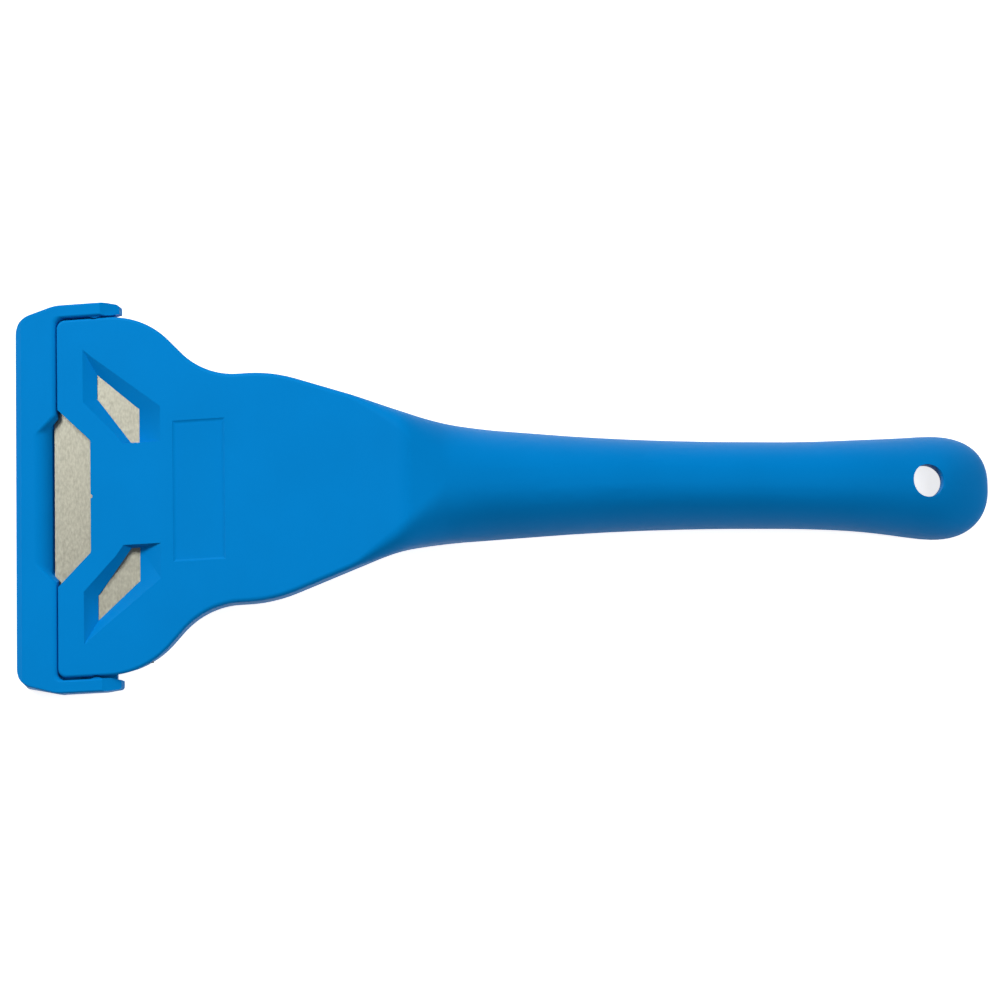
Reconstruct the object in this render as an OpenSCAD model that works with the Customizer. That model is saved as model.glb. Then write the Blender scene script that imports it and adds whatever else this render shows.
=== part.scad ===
// Ceramic hob scraper: a moulded handle body, a wide razor blade and a push-on blade guard.
// The tool lies on a table at Z = 0 with the blade towards -X, symmetric about Y = 0.
// It rests on the guard's front edge and on the rim of the handle's tail. Millimetres.

/* [Blade] */
// Length of the cutting edge
blade_w = 59; // [57:0.5:61]
// Depth of the blade, from its edge to its back
blade_d = 18; // [17:0.5:19]
// Thickness of the blade
blade_t = 0.2; // [0.15:0.05:0.4]
// Width of the ground bevel along the edge
grind_w = 1.2; // [0.6:0.1:1.6]
// How far the edge stands out of the handle body
blade_out = 1; // [0.8:0.1:1.6]
// Free play over and under the blade in its slot
blade_play = 0.06; // [0.04:0.01:0.1]
// Free play beside and behind the blade in its slot
blade_side_play = 0.25; // [0.15:0.05:0.4]

/* [Head] */
// Slope of the head while the tool lies on the table
head_tilt = 15.5; // [14:0.5:17]
// Plastic over the blade
roof_t = 1.74; // [1.5:0.02:2.2]
// Plastic under the blade
floor_t = 1.84; // [1.7:0.02:2.2]
// Plastic beside the blade, measured at the top of the head
cheek_t = 1.8; // [1.6:0.05:2.2]
// How far the head's lower edge is drawn in at its sides, so that the mould opens
side_draft = 0.7; // [0.3:0.05:0.8]
// Radius of the head's two front corners
front_r = 1.5; // [0.8:0.1:2]
// Length of the head's straight sides
side_l = 9.5; // [8.7:0.1:11]
// Radius of the rounded shoulders
shoulder_r = 15.4; // [14:0.2:17]
// Angle of the shoulders where they meet the neck
shoulder_turn = 46; // [42:1:50]
// Width of the flat neck behind the shoulders
neck_w = 40; // [38:0.2:42]
// Radius of the hollow between a shoulder and the neck
neck_r = 14.4; // [12:0.2:16]

/* [Openings in the head] */
// Width of the front notch at the head's front edge
notch_w = 31.6; // [28:0.1:33]
// Width of the front notch at its inner end
notch_in_w = 19.7; // [16:0.1:22]
// Depth of the front notch
notch_d = 6.25; // [5:0.05:7]
// Radius in the notch's inner corners
notch_r = 0.8; // [0.4:0.1:1.5]
// Bar of plastic in front of each slanted window
front_bar = 4.9; // [4.2:0.1:5.4]
// Length of each slanted window
window_l = 14.2; // [13:0.1:15]
// Plastic between a window and the head's side
side_bar = 5.55; // [4.6:0.05:6.4]
// Bridge of plastic between the two windows
bridge_w = 17.8; // [16:0.1:19]
// Length of the cut corner of a window, along the tool
window_cut_l = 7.3; // [6:0.1:8]
// Width of the cut corner of a window, across the tool
window_cut_w = 7.8; // [7:0.1:8.6]
// Width of a window at its rear end
window_back_w = 6.2; // [5:0.1:7]
// Run of a window's sloped front wall, from the top of the head to the blade
front_run = 2.1; // [1.6:0.1:2.4]
// Run of a window's sloped rear wall
back_run = 4.4; // [3.8:0.1:4.8]
// Run of a window's sloped outer wall, across the tool
outer_run = 4.4; // [3.8:0.1:4.8]
// Run of a window's steep wall beside the bridge
bridge_run = 0.35; // [0.2:0.05:0.6]
// Run of a window's cut corner at its front end, across the tool
cut_front_run = 0.55; // [0.3:0.05:0.8]
// Run of a window's cut corner at its bridge end, along the tool
cut_bridge_run = 0.95; // [0.6:0.05:1.2]
// Length of the recessed plate, along the tool
panel_l = 9.5; // [7:0.1:10]
// Width of the recessed plate, across the tool
panel_w = 24.7; // [18:0.1:28]
// Depth of the recessed plate
panel_deep = 0.4; // [0.2:0.05:0.6]
// Gap between the windows and the recessed plate
panel_gap = 2.2; // [1.5:0.05:3]

/* [Blade springs] */
// Width of each spring tongue under the blade
tongue_w = 8; // [6:0.5:10]
// Length of each spring tongue
tongue_l = 9; // [7:0.5:10]
// Width of the slit round a spring tongue
slit_w = 1; // [0.8:0.1:1.2]
// Distance from the middle of the tool to the middle of a tongue
tongue_y = 15.5; // [14:0.5:20]
// Radius of the pip on each tongue
pip_r = 1.2; // [0.8:0.1:2]
// Gap left between a pip and the blade
pip_gap = 0.02; // [0.01:0.01:0.03]

/* [Ramp and handle] */
// Distance from the head's front edge to the foot of the ramp
ramp_x = 51.6; // [49:0.1:54]
// Length of the ramp
ramp_l = 8.8; // [7:0.1:10]
// Slope of the ramp
ramp_tilt = 18.5; // [17:0.5:23]
// Length of the handle, from the crest of the ramp to its tip
handle_l = 101.4; // [90:0.1:120]
// Distance from the start of the neck's taper to the ramp
taper_l = 14.1; // [12:0.1:15]
// Distance from the crest to the place where the handle's root has its width
root_l = 3.9; // [3:0.1:5]
// Width of the handle at its root
root_w = 20.8; // [19:0.1:23]
// Width of the slim stretch of the handle
waist_w = 15.1; // [14:0.1:17]
// Length of the slim stretch
waist_l = 34; // [28:1:36]
// Distance from the slim stretch to the middle of the tail
flare_l = 16.6; // [14:0.1:19]
// Width of the rounded tail
tail_w = 18.1; // [17:0.1:20]
// Length of the rounded end of the tail
tail_l = 10.1; // [9:0.1:11]
// Squareness of the rounded tail: 2 is a circle
tail_square = 2.4; // [2:0.1:2.6]
// Height of the handle's back where the tail bends down
bend_h = 14; // [13:0.1:15.5]
// Distance from the tip to that bend
bend_l = 23; // [21:0.1:25]
// Height of the handle's back at the tip
tip_h = 6.8; // [6:0.1:8]
// Height of the rim under the root of the handle
root_rim_h = 12.6; // [11.6:0.1:14]
// Distance from the crest to that place
root_rim_l = 6; // [5:0.1:9]
// Height of the rim where the tail bends down
bend_rim_h = 4.4; // [3.5:0.1:5]
// Height of the rim at the tip
tip_rim_h = 1.6; // [0.6:0.1:2]
// Length of the flat stretch of rim on which the tail rests
heel_l = 6.4; // [5.4:0.1:7]
// Height of the rounded crown along the grip
crown_h = 10; // [7:0.1:11]
// Distance behind the crest over which the crown becomes round
crown_l = 14.2; // [11:0.1:18]
// Wall of the handle at its crown
crown_t = 2.1; // [1.8:0.1:2.6]
// Wall of the handle at its sides
side_t = 2; // [1.7:0.1:2.4]
// Thickness of the ribs inside the handle
rib_t = 1.2; // [1:0.1:1.6]
// Spacing of the cross ribs
rib_pitch = 12.8; // [11:0.1:14.5]
// How far the ribs stay above the rim
rib_recess = 1; // [0.5:0.1:1.6]
// Diameter of the hanging hole
hang_d = 5.7; // [5:0.1:6.5]
// Distance from the tip to the middle of the hanging hole
hang_l = 10.8; // [10:0.1:12]

/* [Guard] */
// Depth of the guard's bar, front to back
bar_l = 7.55; // [7:0.05:8.5]
// Gap between the guard's bar and the head
bar_gap = 0.14; // [0.1:0.02:0.4]
// How far the bar reaches below the head
bar_drop = 0.7; // [0.4:0.1:1.2]
// Length of the guard's swept corner, along the tool
corner_l = 7.3; // [6:0.1:7.5]
// Width of the guard's swept corner, across the tool, at its top
corner_w = 2.4; // [1.8:0.05:2.8]
// The same at its foot
foot_corner_w = 1.6; // [1.2:0.05:2]
// Radius of the guard's front corners, at its top
corner_r = 3.1; // [2.4:0.1:3.6]
// How far the guard's lower edge is drawn in at its ends
end_draft = 0.3; // [0.2:0.05:0.7]
// Thickness of the guard's arms
arm_t = 2.4; // [2:0.05:3]
// Height of the guard's arms
arm_h = 3.5; // [3.1:0.1:3.9]
// Gap between an arm and the head
arm_gap = 0.32; // [0.32:0.02:0.5]
// Length of the arms, from the head's front edge
arm_l = 11.1; // [10.5:0.1:12.5]
// Length of the sloped finger tab at the end of each arm
tab_l = 3; // [2.5:0.1:3.2]
// How far the tab slopes down
tab_drop = 1.8; // [1:0.1:2.2]
// Distance from the head's front edge to the detents
detent_x = 6.95; // [6.5:0.05:7.2]
// Height of the bump on each arm
bump_h = 0.28; // [0.2:0.01:0.3]
// Length of the bump on each arm
bump_l = 2; // [1.4:0.1:2.2]
// Depth of the dent in the head's side
dent_h = 0.3; // [0.3:0.05:0.6]
// Depth of the groove that covers the blade's edge
edge_groove = 1.4; // [1.2:0.1:1.8]
// Height of that groove
edge_groove_h = 0.8; // [0.6:0.1:0.8]
// Width of the scoop in the guard at its back
scoop_w = 31; // [28:0.1:33]
// Width of the scoop at its front
scoop_front_w = 22.6; // [19:0.1:24]
// Length of the scoop, front to back
scoop_l = 4.2; // [3.6:0.05:4.4]
// How far the scoop's rolled front reaches back
scoop_run = 3.6; // [3:0.1:4]
// How far the scoop's rolled ends reach in
scoop_side_run = 1.6; // [1:0.1:2]
// Height of the scoop's floor over the middle of the blade
scoop_floor = 0.7; // [0.6:0.05:0.9]
// How far the guard's rails reach into the head's grooves
rail_in = 0.95; // [0.8:0.05:1.1]
// Height of the guard's rails
rail_h = 0.7; // [0.5:0.05:0.8]
// Free play round the guard's rails
rail_play = 0.1; // [0.06:0.01:0.14]

/* [Hidden] */
PLASTIC = [0.01, 0.50, 0.78];
STEEL = [0.73, 0.72, 0.65];
$fn = 48;
arc_step = 6;
over = 1;

// The head is drawn flat: X along the tool from the head's front edge, Z up from the blade's middle.
slot_h = blade_t + 2 * blade_play;
slot_w = blade_w + 2 * blade_side_play;
head_w = slot_w + 2 * cheek_t;
top_z = slot_h / 2 + roof_t;
low_z = -slot_h / 2 - floor_t;
head_t = top_z - low_z;
slope = tan(head_tilt);

// Corners of the head's outline, before they are rounded.
shoulder_x = side_l + shoulder_r * tan(shoulder_turn / 2);
hollow_x = shoulder_x + (head_w - neck_w) / 2 / tan(shoulder_turn);
neck_x = hollow_x + neck_r * tan(shoulder_turn / 2);
head_end = neck_x + 3 * over;

// Corners of the guard's bar in side view: back top, front strip, front face, foot.
bar_back = -bar_gap;
bar_front = -bar_gap - bar_l;
strip_l = 1.2;
strip_drop = 0.6;
foot_r = 0.5;
bar_low = low_z - bar_drop;
bar_side = [
    [bar_back, top_z],
    [bar_front + strip_l, top_z],
    [bar_front, top_z - strip_drop],
    [bar_front, bar_low + foot_r],
    [bar_front + foot_r, bar_low],
    [bar_back, bar_low]
];

// Places along the handle, from the head's front edge. The skin's last ring stops a few degrees
// short of the tail's very tip.
crest_x = ramp_x + ramp_l;
tip_x = crest_x + handle_l;
tail_x = tip_x - tail_l;
hang_x = tip_x - hang_l;
tip_cut = 6;
tail_stop = 90 - tip_cut;
tail_end = tail_x + tail_ahead(tail_l, tail_stop);

// Place of the drawn-flat head in the tool: the lowest point of the guard stands on the table,
// and the middle of the whole length is at X = 0.
guard_reach = max([for (p = bar_side) -p[0] * cos(head_tilt) + p[1] * sin(head_tilt)]);
edge_x = (guard_reach - tail_end) / 2;
edge_z = max([for (p = bar_side) -p[0] * sin(head_tilt) - p[1] * cos(head_tilt)]);

// Where the drawn-flat head is cut and the lofted handle takes over.
join_x = (neck_x + over) * cos(head_tilt);

// Lines of the handle in plan and side view. Each row is a distance from the head's front edge,
// a value there, and half the length of the rounding at that corner. The handle leaves the head's
// cut face a hair inside its edges, so that no edge of the two coincides.
hair = 0.02;
function plate_z(x, z) = edge_z + x * slope + z / cos(head_tilt);
ramp_round = 1.5;
crest_round = 1.5;
taper_x = ramp_x - taper_l;
root_x = crest_x + root_l;
waist_end = tail_x - flare_l;
waist_start = waist_end - waist_l;
half_line = [
    [join_x, neck_w / 2 - hair, 0],
    [taper_x, neck_w / 2, min(4.3, taper_x - join_x)],
    [root_x, root_w / 2, 6.4],
    [waist_start, waist_w / 2, 18],
    [waist_end, waist_w / 2, min(10.7, flare_l - over)],
    [tail_x - over, tail_w / 2, over],
    [tail_x, tail_w / 2, 0]
];
crest_z = plate_z(ramp_x, top_z) + ramp_l * tan(ramp_tilt);
bend_x = tip_x - bend_l;
back_line = [
    [join_x, plate_z(join_x, top_z) - hair, 0],
    [ramp_x, plate_z(ramp_x, top_z), ramp_round],
    [crest_x, crest_z, crest_round],
    [bend_x, bend_h, 8],
    [tip_x, tip_h, 0]
];
belly_x = crest_x - 2;
belly_end = crest_x + root_rim_l;
heel_x = tail_x - 1.4;
rim_line = [
    [join_x, plate_z(join_x, low_z) + hair, 0],
    [belly_x, plate_z(belly_x, low_z), 3],
    [belly_end, root_rim_h, 4],
    [bend_x, bend_rim_h, 4],
    [heel_x, 0, 4],
    [heel_x + heel_l, 0, 2.4],
    [tip_x, tip_rim_h, 0]
];
// How far the crown's rounding reaches in from the side, and down from the back.
edge_r = 0.3;
across_line = [
    [join_x, edge_r, 0],
    [ramp_x, edge_r, 1],
    [crest_x, 4.4, 3],
    [crest_x + crown_l, waist_w, 4],
    [tip_x, waist_w, 0]
];
down_line = [
    [join_x, edge_r, 0],
    [ramp_x, edge_r, 1],
    [crest_x, 4.3, 3],
    [crest_x + crown_l, crown_h, 4],
    [tip_x, crown_h, 0]
];

// Value of such a line at x. The corners are rounded by parabolas.
function last_before(line, x, i) =
    i + 2 >= len(line) || x < line[i + 1][0] ? i : last_before(line, x, i + 1);
function steep(line, i) = (line[i + 1][1] - line[i][1]) / (line[i + 1][0] - line[i][0]);
function straight(line, x, i) = line[i][1] + steep(line, i) * (x - line[i][0]);
function easing(line, x, i) =
    let (reach = i < 1 || i > len(line) - 2 ? 0 : line[i][2], off = reach - abs(x - line[i][0]))
    off <= 0 ? 0 : (steep(line, i) - steep(line, i - 1)) * off * off / (4 * reach);
function bent(line, x) =
    let (i = last_before(line, x, 0))
    straight(line, x, i) + easing(line, x, i) + easing(line, x, i + 1);

// Points of a flat outline whose corners [x, y, radius] are rounded by arcs.
function arc_corner(a, p, b, r) =
    let (
        u = (a - p) / norm(a - p),
        v = (b - p) / norm(b - p),
        turn = 180 - acos(u * v),
        centre = p + (u + v) / norm(u + v) * r / cos(turn / 2),
        start = p + u * r * tan(turn / 2) - centre,
        side = cross(p - a, b - p) > 0 ? 1 : -1,
        n = max(2, ceil(turn / arc_step - 0.01))
    )
    [for (i = [0:n])
        let (t = side * turn * i / n)
        centre + [start[0] * cos(t) - start[1] * sin(t), start[0] * sin(t) + start[1] * cos(t)]];
function flat(p) = [p[0], p[1]];
function rounded(corners) =
    let (n = len(corners))
    [for (i = [0:n - 1])
        each corners[i][2] > 0
            ? arc_corner(flat(corners[(i + n - 1) % n]), flat(corners[i]), flat(corners[(i + 1) % n]), corners[i][2])
            : [flat(corners[i])]];
// Adds the mirror image of half an outline, drawn at y > 0.
function both_sides(half) =
    concat(half, [for (i = [len(half) - 1:-1:0]) [half[i][0], -half[i][1], half[i][2]]]);

// Evenly spaced places from a to b, no more than step apart, without b.
function spread(a, b, step) = let (n = ceil((b - a) / step)) [for (i = [0:n - 1]) a + (b - a) * i / n];

// The tail's plan is a slightly squared half round. Places along it for an angle from 0 to 90.
function tail_ahead(reach, a) = reach * pow(sin(a), 2 / tail_square);

// One ring of the handle's skin at x. side and back bring the ring in, and drop lowers its rim.
ring_n = 7;
lip = 0.25;
function ring(x, side, back, drop) =
    let (
        full = bent(half_line, min(x, tail_x)) - side,
        ahead = max(0, x - tail_x) / (tail_l - side),
        half = full * pow(1 - pow(ahead, tail_square), 1 / tail_square),
        z_back = bent(back_line, x) - back,
        z_rim = bent(rim_line, x) - drop,
        across = min(full - lip, max(edge_r, bent(across_line, x) - side)),
        down = min(z_back - z_rim - 2 * lip, max(edge_r, bent(down_line, x) - back)),
        crown = [for (i = [0:ring_n])
            let (
                y = half / full * (full - across + across * cos(90 * i / ring_n)),
                out = pow(pow(ahead, tail_square) + pow(y / full, tail_square), 1 / tail_square),
                t = min(1, max(0, full * out - full + across) / across)
            )
            [y, z_back - down + down * sqrt(1 - t * t)]],
        side_points = concat([[half - lip, z_rim], [half, z_rim + lip]], crown),
        n = len(side_points)
    )
    concat(
        [for (p = side_points) [edge_x + x, p[0], p[1]]],
        [for (i = [n - 1:-1:0]) [edge_x + x, -side_points[i][0], side_points[i][1]]]
    );

// Triangles that fill an outline of n points, from one side of it to the other like a ladder.
function ladder(n) = [for (i = [0:ceil(n / 2) - 2], t = [[i, i + 1, n - 2 - i], [i, n - 2 - i, n - 1 - i]])
    if (t[1] != t[2]) t];
function turned(t) = [t[2], t[1], t[0]];
function shifted(t, by) = [t[0] + by, t[1] + by, t[2] + by];

// Closed skin through rings that all have the same number of points.
module skin(rings) {
    m = len(rings[0]);
    n = len(rings);
    walls = [for (i = [0:n - 2], j = [0:m - 1], half = [0, 1])
        let (a = i * m + j, b = i * m + (j + 1) % m)
        half == 0 ? [a, b + m, b] : [a, a + m, b + m]];
    caps = concat(ladder(m), [for (t = ladder(m)) shifted(turned(t), (n - 1) * m)]);
    polyhedron([for (r = rings) each r], concat(walls, caps), convexity = 6);
}

// Tapered solid between an outline at z_low and one at z_high with as many points.
function raised(outline, z) = [for (p = outline) [p[0], p[1], z]];
module frustum(low, high, z_low, z_high) {
    skin([raised(low, z_low), raised(high, z_high)]);
}
function mixed(a, b, t) = [for (i = [0:len(a) - 1]) a[i] + (b[i] - a[i]) * t];

// Puts a drawn-flat shape in its place on the tool.
module on_head() {
    translate([edge_x, 0, edge_z]) rotate([0, -head_tilt, 0]) children();
}

module each_side() {
    children();
    mirror([0, 1, 0]) children();
}

// The head's outline. Its lower edge is drawn in at the sides and the shoulders, but not at the neck.
function head_outline(draft) =
    let (half = head_w / 2 - draft)
    rounded(both_sides([
        [head_end, neck_w / 2, 0],
        [hollow_x - draft / sin(shoulder_turn), neck_w / 2, neck_r],
        [shoulder_x - draft * tan(shoulder_turn / 2), half, shoulder_r],
        [0, half, front_r]
    ]));
module head_plate() {
    difference() {
        on_head() frustum(head_outline(side_draft), head_outline(0), low_z, top_z);
        translate([edge_x + join_x, -head_w, -head_w]) cube([head_w, 2 * head_w, 3 * head_w]);
    }
}

// The skin starts inside the head, and comes almost flush with it where the head is cut.
sink = 0.1;
root_end = crest_x + 20;
module handle_skin() {
    places = concat(
        spread(join_x, ramp_x - ramp_round, 3),
        spread(ramp_x - ramp_round, ramp_x + ramp_round, 1),
        spread(ramp_x + ramp_round, crest_x - crest_round, 2),
        spread(crest_x - crest_round, crest_x + crest_round, 0.75),
        spread(crest_x + crest_round, root_end, 2.2),
        spread(root_end, tail_x, 4.6),
        [for (a = [0, 14, 28, 42, 56, 68, 77, tail_stop]) tail_x + tail_ahead(tail_l, a)]
    );
    skin(concat([ring(join_x - over, sink, sink, -sink)], [for (x = places) ring(x, 0, 0, 0)]));
}

// The hollow under the handle, less its ribs.
hollow_start = crest_x - 3;
hang_rib_gap = 3;
module handle_hollow() {
    rib_start = hollow_start + rib_pitch / 2;
    rib_last = hang_x - hang_d / 2 - hang_rib_gap;
    rib_count = floor((rib_last - rib_start) / rib_pitch);
    difference() {
        skin([for (x = concat(
            spread(hollow_start, root_end, 3.2),
            spread(root_end, tail_x, 7),
            [for (a = [0, 16, 32, 48, 62, 74, 81]) tail_x + tail_ahead(tail_l - side_t, a)]
        )) ring(x, side_t, crown_t, over)]);
        for (i = [0:rib_count]) {
            x = rib_last - i * rib_pitch;
            translate([edge_x + x, -tail_w, bent(rim_line, x) + rib_recess])
                cube([rib_t, 2 * tail_w, 3 * crown_h]);
        }
        translate([edge_x, rib_t / 2, 0]) rotate([90, 0, 0]) linear_extrude(rib_t) polygon(concat(
            [for (x = spread(hollow_start - over, rib_last + rib_t, 4)) [x, bent(rim_line, x) + rib_recess]],
            [[rib_last + rib_t / 2, bent(rim_line, rib_last) + rib_recess],
             [rib_last + rib_t / 2, 2 * crest_z], [hollow_start - over, 2 * crest_z]]
        ));
    }
}

// Square to the sloping back of the tail.
tail_tilt = atan((bend_h - tip_h) / bend_l);
module hanging_hole() {
    translate([edge_x + hang_x, 0, bent(back_line, hang_x)]) rotate([0, tail_tilt, 0])
        cylinder(d = hang_d, h = 3 * crown_t, center = true);
}

module blade_slot() {
    translate([-over, -slot_w / 2, -slot_h / 2])
        cube([over + blade_d - blade_out + blade_side_play, slot_w, slot_h]);
}

// Open over the blade only, so that the edge still lies on plastic.
module front_notch() {
    splay = (notch_w - notch_in_w) / 2 / notch_d;
    linear_extrude(top_z + over) polygon(rounded(both_sides([
        [-over, notch_w / 2 + over * splay, 0],
        [notch_d, notch_in_w / 2, notch_r]
    ])));
}

module slanted_window() {
    y_in = bridge_w / 2;
    x_end = front_bar + window_l;
    // Corners at the top of the head, then how far the sloped walls bring each one in at the blade.
    top = [
        [front_bar, head_w / 2 - side_bar],
        [front_bar, y_in + window_cut_w],
        [front_bar + window_cut_l, y_in],
        [x_end, y_in],
        [x_end, y_in + window_back_w]
    ];
    run = [
        [front_run, -outer_run],
        [front_run, cut_front_run],
        [cut_bridge_run, bridge_run],
        [-back_run, bridge_run],
        [-back_run, 0]
    ];
    // The cutter goes on a little over the head's top, and ends just inside the slot.
    above = 0.3;
    below = 1.05;
    low = mixed(top, top + run, below);
    high = mixed(top, top + run, -above);
    frustum(low, high, top_z - below * roof_t, top_z + above * roof_t);
}

module bare_plate() {
    translate([front_bar + window_l + panel_gap, -panel_w / 2, top_z - panel_deep])
        cube([panel_l, panel_w, over]);
}

tongue_tip = front_bar + 2;
pip_in = 2;
module tongue_slit() {
    translate([tongue_tip, tongue_y - tongue_w / 2 - slit_w, low_z - over]) difference() {
        cube([tongue_l + slit_w, tongue_w + 2 * slit_w, over + floor_t + slot_h / 2]);
        translate([slit_w, slit_w, -over]) cube([tongue_l + over, tongue_w, floor_t + 3 * over]);
    }
}

module spring_pip() {
    translate([tongue_tip + slit_w + pip_in, tongue_y, -slot_h / 2 - over])
        cylinder(r = pip_r, h = over + blade_play - pip_gap);
}

module side_dent() {
    r = (bump_l * bump_l / 4 + dent_h * dent_h) / (2 * dent_h);
    translate([detent_x, head_w / 2 + r - dent_h, low_z - over]) cylinder(r = r, h = head_t + 2 * over);
}

rail_roof = 0.35;
rail_z = -slot_h / 2 - rail_roof;
rail_end = arm_l - 1;
module rail_groove() {
    deep = rail_in + rail_play;
    translate([-over, head_w / 2 - deep, rail_z - rail_h - rail_play])
        cube([rail_end + 2 * over, deep + over, rail_h + 2 * rail_play]);
}

module handle_body() {
    color(PLASTIC) union() {
        difference() {
            union() {
                head_plate();
                handle_skin();
            }
            on_head() {
                blade_slot();
                front_notch();
                bare_plate();
                each_side() {
                    slanted_window();
                    tongue_slit();
                    side_dent();
                    rail_groove();
                }
            }
            handle_hollow();
            hanging_hole();
        }
        on_head() each_side() spring_pip();
    }
}

module blade() {
    back = blade_d - blade_out;
    t = blade_t / 2;
    color(STEEL) on_head() translate([0, blade_w / 2, 0]) rotate([90, 0, 0]) linear_extrude(blade_w)
        polygon([[-blade_out, 0], [grind_w - blade_out, -t], [back, -t], [back, t], [grind_w - blade_out, t]]);
}

arm_in = head_w / 2 + arm_gap;
arm_out = arm_in + arm_t;
foot_corner_r = 1.3;
sweep_r = 4;
tab_in = 0.35;
tab_r = 0.6;
// The outside of the guard's outline. Its lower edge is drawn in at the ends by the draft.
function guard_outline(draft, sweep_w, front_corner_r) =
    let (half = arm_out - draft)
    rounded(both_sides([
        [arm_l, half - tab_in, tab_r],
        [arm_l - tab_l, half, 0],
        [bar_front + corner_l, half, sweep_r],
        [bar_front, half - sweep_w, front_corner_r]
    ]));

// The space between the arms, which turn out a little at their ends.
arm_root_r = 1.3;
turn_out = 0.3;
turn_out_l = 1.6;
module between_arms() {
    translate([0, 0, bar_low - over]) linear_extrude(top_z - bar_low + 2 * over) polygon(rounded(both_sides([
        [bar_back, arm_in, arm_root_r],
        [arm_l - turn_out_l, arm_in, 0],
        [arm_l, arm_in + turn_out, 0],
        [arm_l + over, arm_in + turn_out, 0]
    ])));
}

// The scoop's front and ends roll over down to its floor, which covers the blade's edge. Each ring of
// the cutter is the scoop's outline at the depth where the roll has turned by the angle a.
scoop_turn = 80;
scoop_step = 16;
function scoop_ring(a) =
    let (
        splay = (scoop_w - scoop_front_w) / 2 / scoop_l,
        part = sin(a) / sin(scoop_turn),
        x = bar_back - scoop_l + scoop_run * part,
        half = scoop_front_w / 2 + (scoop_run * splay - scoop_side_run) * part,
        z = top_z - (top_z - scoop_floor) * (1 - cos(a)) / (1 - cos(scoop_turn))
    )
    raised(both_sides([[over, half + splay * (over - x), 0], [x, half, 0]]), z);
module scoop() {
    mouth = scoop_ring(0);
    skin(concat(
        [for (a = [scoop_turn:-scoop_step:0]) scoop_ring(a)],
        [raised(mouth, top_z + over)]
    ));
}

module side_bump() {
    r = (bump_l * bump_l / 4 + bump_h * bump_h) / (2 * bump_h);
    intersection() {
        translate([detent_x, arm_in + r - bump_h, top_z - arm_h]) cylinder(r = r, h = arm_h);
        translate([detent_x - r, arm_in - r, low_z]) cube([2 * r, r + arm_t / 2, head_t]);
    }
}

module side_rail() {
    translate([bar_back - over / 2, head_w / 2 - rail_in, rail_z - rail_h])
        cube([rail_end - bar_back + over / 2, rail_in + arm_gap + arm_t / 2, rail_h]);
}

module tab_slope() {
    drop = atan(tab_drop / tab_l);
    translate([arm_l - tab_l, 0, top_z]) rotate([0, drop, 0]) cube([2 * tab_l, 2 * head_w, 2 * tab_drop]);
}

// Side view of what is cut from the bar's front: over the sloped strip, and under the foot.
module front_cuts() {
    rotate([90, 0, 0]) linear_extrude(3 * head_w, center = true) {
        polygon([
            [bar_front - strip_l, top_z - 2 * strip_drop],
            [bar_front + 2 * strip_l, top_z + strip_drop],
            [bar_front - strip_l, top_z + strip_drop]
        ]);
        polygon([
            [bar_front - foot_r, bar_low + 2 * foot_r],
            [bar_front - foot_r, bar_low - foot_r],
            [bar_front + 2 * foot_r, bar_low - foot_r]
        ]);
    }
}

module under_arms() {
    translate([bar_back, -head_w, bar_low - over])
        cube([arm_l + 2 * over, 2 * head_w, over + top_z - arm_h - bar_low]);
}

module blade_guard() {
    color(PLASTIC) on_head() difference() {
        union() {
            difference() {
                frustum(
                    guard_outline(end_draft, foot_corner_w, foot_corner_r),
                    guard_outline(0, corner_w, corner_r),
                    bar_low,
                    top_z
                );
                between_arms();
                under_arms();
                front_cuts();
            }
            each_side() {
                side_bump();
                side_rail();
            }
        }
        each_side() tab_slope();
        translate([bar_back - edge_groove, -slot_w / 2, -edge_groove_h / 2])
            cube([edge_groove + over / 2, slot_w, edge_groove_h]);
        scoop();
    }
}

handle_body();
blade();
blade_guard();
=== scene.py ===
# %% [markdown]
# # A ceramic hob scraper
# The scraper is three pieces: a blue moulding that is head and handle in one, a wide steel razor blade
# and a blue guard that is pushed over the edge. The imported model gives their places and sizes. Each piece
# is made again here with soft moulded edges, at the same place, and takes over from the plain one.

import math

import bmesh
import bpy
from mathutils import Matrix, Vector


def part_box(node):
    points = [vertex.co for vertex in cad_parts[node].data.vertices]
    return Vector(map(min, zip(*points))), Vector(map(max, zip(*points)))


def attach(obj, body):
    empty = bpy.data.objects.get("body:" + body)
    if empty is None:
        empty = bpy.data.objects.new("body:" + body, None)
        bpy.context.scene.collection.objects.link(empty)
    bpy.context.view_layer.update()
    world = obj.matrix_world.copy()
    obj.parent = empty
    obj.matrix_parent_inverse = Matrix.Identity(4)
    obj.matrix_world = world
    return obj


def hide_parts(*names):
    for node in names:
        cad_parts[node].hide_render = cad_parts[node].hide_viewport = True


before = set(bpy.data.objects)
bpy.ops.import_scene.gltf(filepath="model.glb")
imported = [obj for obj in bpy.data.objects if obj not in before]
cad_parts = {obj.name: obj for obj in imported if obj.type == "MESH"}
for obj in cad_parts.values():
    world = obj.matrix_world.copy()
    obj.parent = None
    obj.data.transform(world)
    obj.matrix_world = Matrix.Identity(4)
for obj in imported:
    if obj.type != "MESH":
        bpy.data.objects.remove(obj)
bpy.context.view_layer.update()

# %% [markdown]
# ## Sizes of the real tool
# Everything is written in millimetres and put into metres when a piece is finished. The blade is 59 mm
# wide, and the head is as wide as its slot and two cheeks. The head is drawn flat first: X runs back from
# its front edge, Z up from the middle of the blade. Then it is tilted into its place on the table.

# %% Driving sizes
MM = 0.001
blade_w = 59.0
blade_d = 18.0
blade_t = 0.2
blade_out = 1.0
grind_w = 1.2
slot_h = 0.32
slot_w = 59.5
head_w = 63.1
top_z = 1.9
low_z = -2.0
side_draft = 0.7
neck_w = 40.0
head_tilt = math.radians(15.5)
front_bar = 4.9
window_l = 14.2
side_bar = 5.55
bridge_w = 17.8

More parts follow.
